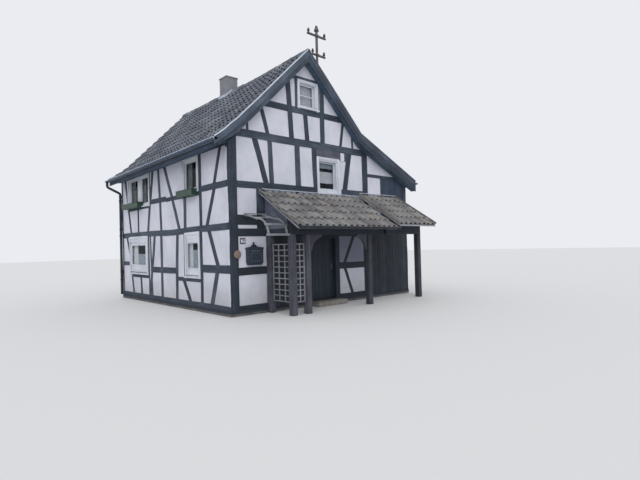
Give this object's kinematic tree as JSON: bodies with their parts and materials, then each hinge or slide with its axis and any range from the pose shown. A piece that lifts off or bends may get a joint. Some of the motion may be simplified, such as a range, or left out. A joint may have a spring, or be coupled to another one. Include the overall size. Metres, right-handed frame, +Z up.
{
  "type": "half timbered house",
  "caption": "Half timbered house with white infill, a tiled gable roof running down into a catslide, a tiled porch and an inward-opening front door.",
  "frame": {"origin": "centre of the house's footprint on the underside of its plinth", "axes": "+Z up, +Y from the gable back along the street wall, -X towards the street"},
  "size_m": [7.828, 9.194, 8.18],
  "materials": {
    "black_timber": "rough sawn oak under weathered blue-black paint",
    "weathered_wood": "bare weathered softwood, grey-brown",
    "brown_wood": "dark stained boards and posts",
    "blue_board": "blue-grey painted boards",
    "floor_board": "sanded floor boards",
    "white_plaster": "hand-trowelled lime plaster, matt white",
    "grey_render": "plain float-finished render",
    "plinth_paint": "dark painted masonry",
    "chimney_render": "weathered beige render",
    "step_stone": "worn grey stone",
    "grey_tile": "weathered dark grey clay pantiles",
    "brown_tile": "weathered grey-brown clay pantiles",
    "white_paint": "white gloss paint on wood",
    "window_glass": "clear window glass",
    "green_paint": "dark green-grey painted boards",
    "grey_metal": "weathered grey paint on steel",
    "blue_zinc": "blue-grey coated sheet metal",
    "box_metal": "dark hammered paint on sheet steel",
    "brown_porcelain": "brown-grey glazed porcelain",
    "pale_enamel": "pale enamel plate",
    "cut_log": "sawn end grain with bark",
    "trough_plastic": "dark green moulded plastic"
  },
  "bodies": {
    "house": {"plinth": "plinth_paint", "ground_floor": "floor_board", "upper_floor": "floor_board", "attic_floor": "floor_board", "corner_posts": "black_timber", "street_beams": "black_timber", "street_posts": "black_timber", "street_braces": "black_timber", "street_infill": "white_plaster", "gable_beams": "black_timber", "gable_posts": "black_timber", "gable_braces": "black_timber", "gable_infill": "white_plaster", "leanto_boards": "blue_board", "garden_beams": "black_timber", "garden_posts": "black_timber", "garden_infill": "white_plaster", "party_wall": "grey_render", "arcade_plate": "weathered_wood", "rafters": "weathered_wood", "street_roof": "grey_tile", "garden_roof": "grey_tile", "catslide_roof": "grey_tile", "ridge_tiles": "grey_tile", "barge_boards": "blue_board", "soffit_boards": "blue_board", "chimney": "chimney_render", "roof_mast": "grey_metal", "mast_insulators": "brown_porcelain", "gutters": "blue_zinc", "downpipe": "blue_zinc", "street_windows": "white_paint", "gable_windows": "white_paint", "garden_windows": "white_paint", "window_panes": "window_glass", "door_frame": "black_timber", "door_step": "step_stone", "porch_posts": "brown_wood", "porch_beams": "black_timber", "porch_braces": "brown_wood", "porch_roof": "brown_tile", "side_porch_roof": "brown_tile", "porch_cheek": "brown_wood", "porch_side_lattice": "weathered_wood", "porch_front_lattice": "weathered_wood", "canopy_frame": "weathered_wood", "letter_box": "box_metal", "number_plate": "pale_enamel", "log_slice": "cut_log", "flower_boxes": "trough_plastic"},
    "door": {"front_door": "green_paint"}
  },
  "joints": [
    {"name": "front_door_hinge", "type": "hinge", "parent": "house", "child": "door", "pos_m": [-0.86, -3.474, 1], "axis": [0, 0, 1], "range_deg": [0, 90]}
  ]
}
